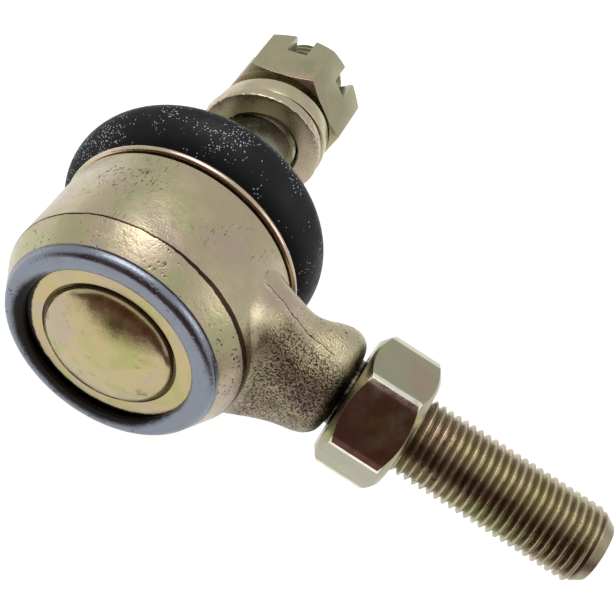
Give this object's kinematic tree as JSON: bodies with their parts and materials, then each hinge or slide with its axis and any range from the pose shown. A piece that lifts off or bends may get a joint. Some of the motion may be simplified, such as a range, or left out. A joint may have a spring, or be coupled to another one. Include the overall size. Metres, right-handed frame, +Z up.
{
  "type": "tie rod end",
  "caption": "Outer tie rod end with a threaded shank, jam nut, sealed ball joint, rubber boot and a tapered stud with washers and castle nut.",
  "frame": {"origin": "centre of the ball, on the eye's axis and on the shank's axis", "axes": "+X along the shank towards its threaded end, +Y along the eye's axis towards the castle nut, +Z up with the joint lying on its side"},
  "size_m": [0.0945, 0.0794, 0.0405],
  "materials": {
    "forged_body": "yellow chromate over forged and turned steel",
    "cover": "yellow chromate over pressed steel",
    "seat": "natural acetal",
    "spring_steel": "phosphated spring steel",
    "ring": "yellow chromate over spring steel wire",
    "boot_rubber": "satin black rubber",
    "top_ring": "bright steel",
    "stud": "turned steel with thin yellow chromate",
    "washer": "yellow chromate over stamped steel",
    "spring_ring": "yellow chromate over spring steel",
    "castle": "yellow chromate over milled steel",
    "jam": "yellow chromate over milled steel"
  },
  "bodies": {
    "housing": {"housing": "forged_body", "cover_plate": "cover", "lower_seat": "seat", "upper_seat": "seat", "preload_spring": "spring_steel", "clamp_ring": "ring"},
    "boot": {"boot": "boot_rubber"},
    "boot_collar": {"boot_top_ring": "top_ring"},
    "stud": {"ball_stud": "stud"},
    "washers": {"flat_washer": "washer", "spring_washer": "spring_ring"},
    "castle_nut": {"castle_nut": "castle"},
    "jam_nut": {"jam_nut": "jam"}
  },
  "joints": [
    {"name": "swing_side", "type": "hinge", "parent": "housing", "child": "boot", "pos_m": [0, 0, 0], "axis": [0, 0, 1], "range_deg": [-18, 14], "deforming": ["boot"]},
    {"name": "swing_lift", "type": "hinge", "parent": "boot", "child": "boot_collar", "pos_m": [0, 0, 0], "axis": [0.9995, 0.0332, 0], "range_deg": [-13, 19]},
    {"name": "stud_spin", "type": "hinge", "parent": "boot_collar", "child": "stud", "pos_m": [0, 0, 0], "axis": [-0.0331, 0.9983, -0.0471], "continuous": true},
    {"name": "nut_travel", "type": "slide", "parent": "stud", "child": "washers", "axis": [-0.0331, 0.9983, -0.0471], "range_m": [-0.0025, 0.0075]},
    {"name": "nut_spin", "type": "hinge", "parent": "washers", "child": "castle_nut", "pos_m": [-0.00144, 0.04333, -0.00204], "axis": [-0.0331, 0.9983, -0.0471], "range_deg": [-721, 2161]},
    {"name": "jam_nut_travel", "type": "slide", "parent": "housing", "child": "jam_nut", "axis": [1, 0, 0], "range_m": [-0.0003, 0.028]}
  ],
  "couplings": [
    {"joint": "nut_spin", "follows": "nut_travel", "rad_per_m": 5026.5}
  ]
}
